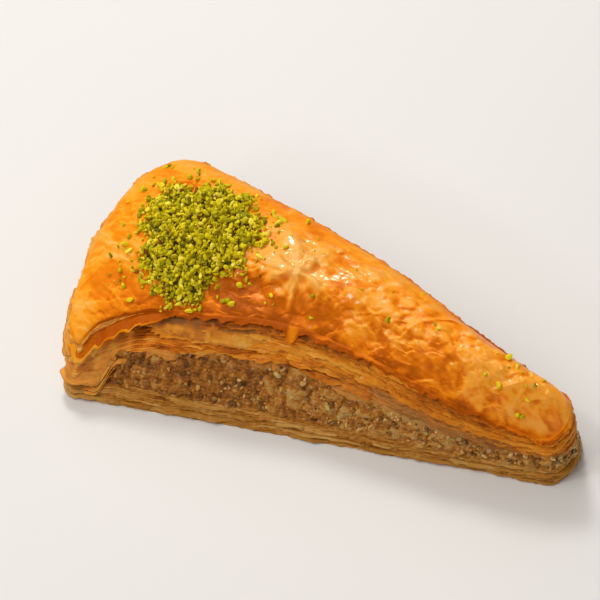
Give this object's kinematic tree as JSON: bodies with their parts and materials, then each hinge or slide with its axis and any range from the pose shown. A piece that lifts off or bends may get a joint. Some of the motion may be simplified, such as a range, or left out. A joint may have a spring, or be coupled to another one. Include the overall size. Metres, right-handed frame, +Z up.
{
  "type": "baklava piece",
  "caption": "Long wedge of flaky filled pastry with a domed glazed crust, a nut filling showing at the cut sides and a heap of crushed green pistachio near its wide end.",
  "frame": {"origin": "centre of the slice's outline on the surface it lies on", "axes": "+X towards the narrow tip, -X towards the wide end, +Z up through the crust"},
  "size_m": [0.1588, 0.0747, 0.0453],
  "materials": {
    "soaked_pastry": "pale syrup-soaked pastry sheets, moist",
    "ground_filling": "coarse ground nut filling, moist",
    "glazed_crust": "browned flaky crust under a syrup glaze, glossy",
    "crushed_pistachio": "crushed nut grains, dull"
  },
  "bodies": {
    "root": {"bottom_pastry": "soaked_pastry", "pistachio_filling": "ground_filling", "top_pastry": "glazed_crust", "pistachio_topping": "crushed_pistachio"}
  },
  "joints": []
}
